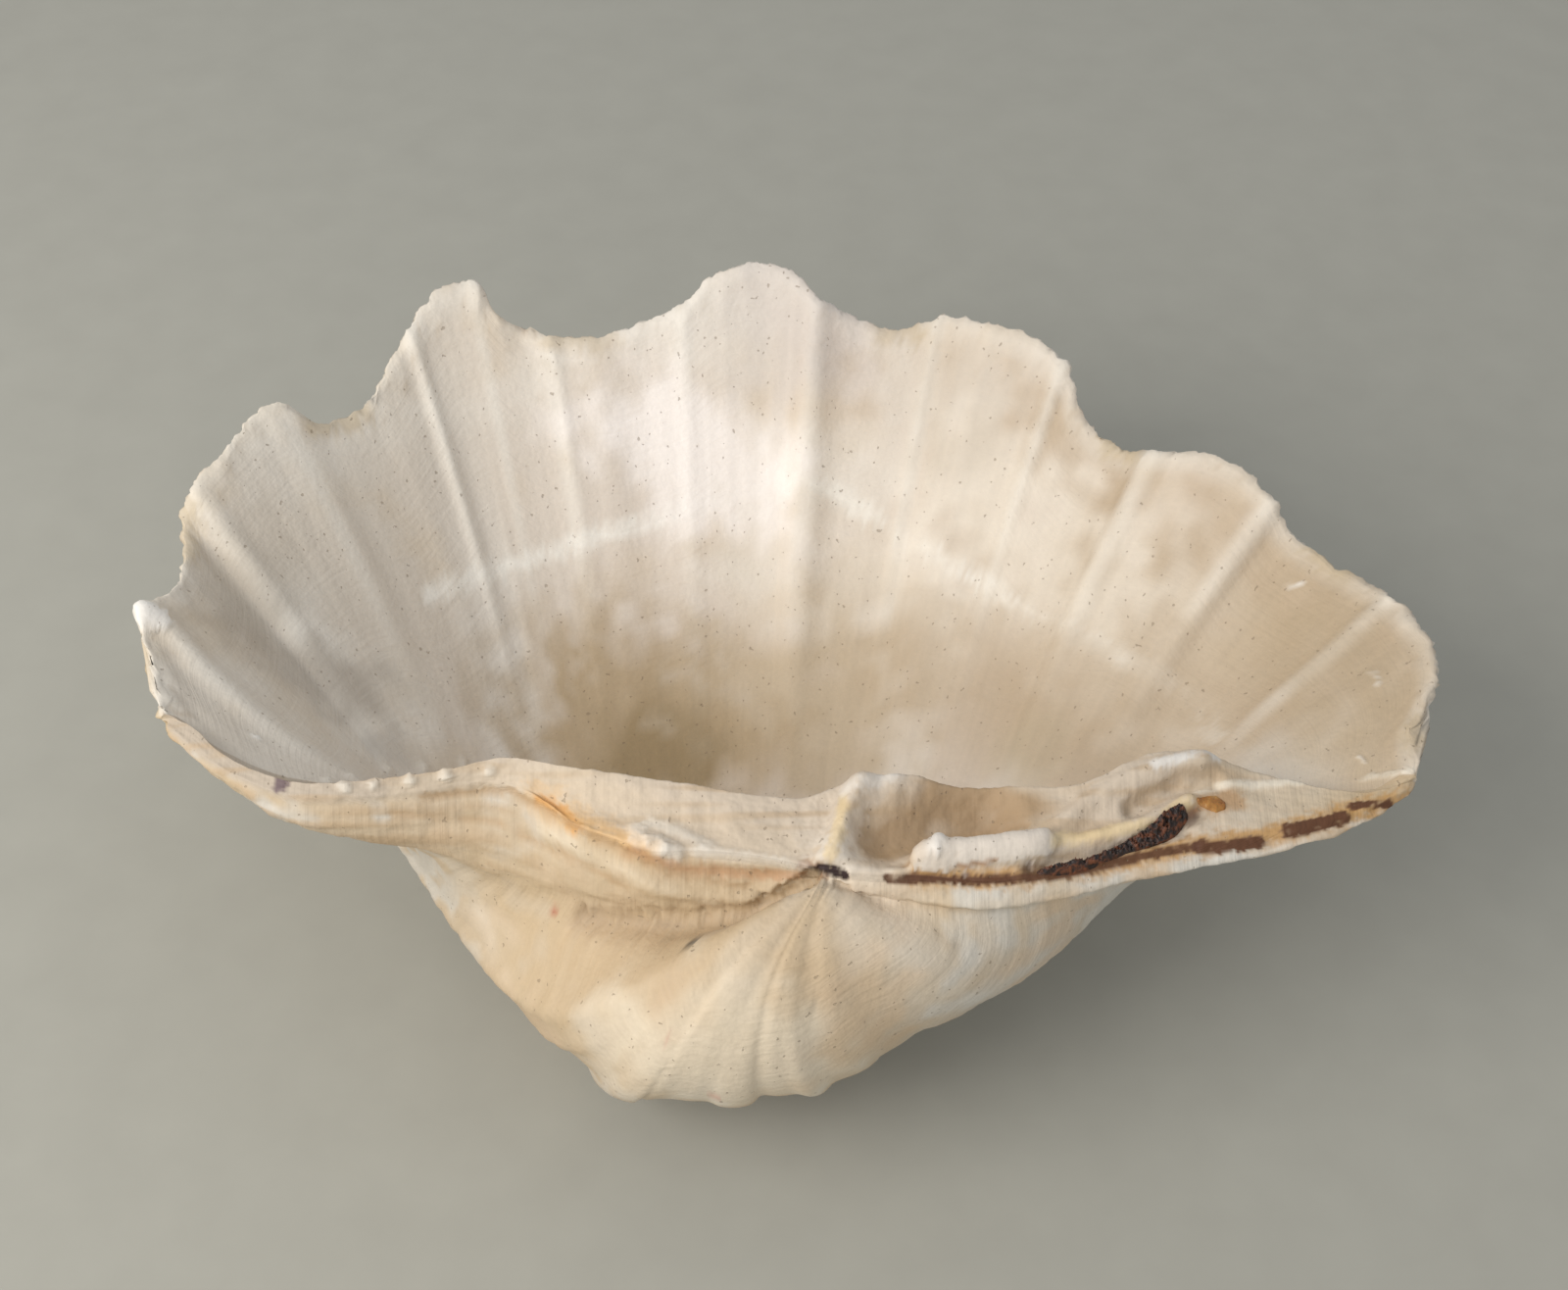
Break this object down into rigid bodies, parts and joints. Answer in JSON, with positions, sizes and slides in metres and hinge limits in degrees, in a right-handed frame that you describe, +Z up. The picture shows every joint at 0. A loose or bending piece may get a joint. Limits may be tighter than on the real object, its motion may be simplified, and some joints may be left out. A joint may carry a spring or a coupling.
{
  "type": "giant clam shell",
  "caption": "One valve of a fluted giant clam lying hollow side up: deep bowl, scalloped lips, ribbed outside, hinge plate with teeth and dried ligament.",
  "frame": {"origin": "centre of the shell's outline seen from above, on the ground it rests on", "axes": "+X along the hinge towards the ligament end, +Y from the hinge towards the scalloped lips, +Z up out of the hollow"},
  "size_m": [0.2938, 0.2244, 0.0922],
  "materials": {
    "chalky_shell": "matte, chalky, cream to ochre",
    "dried_ligament": "matte, crumbly, dark brown",
    "amber_ligament": "satin, translucent amber"
  },
  "bodies": {
    "root": {"shell": "chalky_shell", "ligament_strip": "dried_ligament", "ligament_chip": "amber_ligament"}
  },
  "joints": []
}
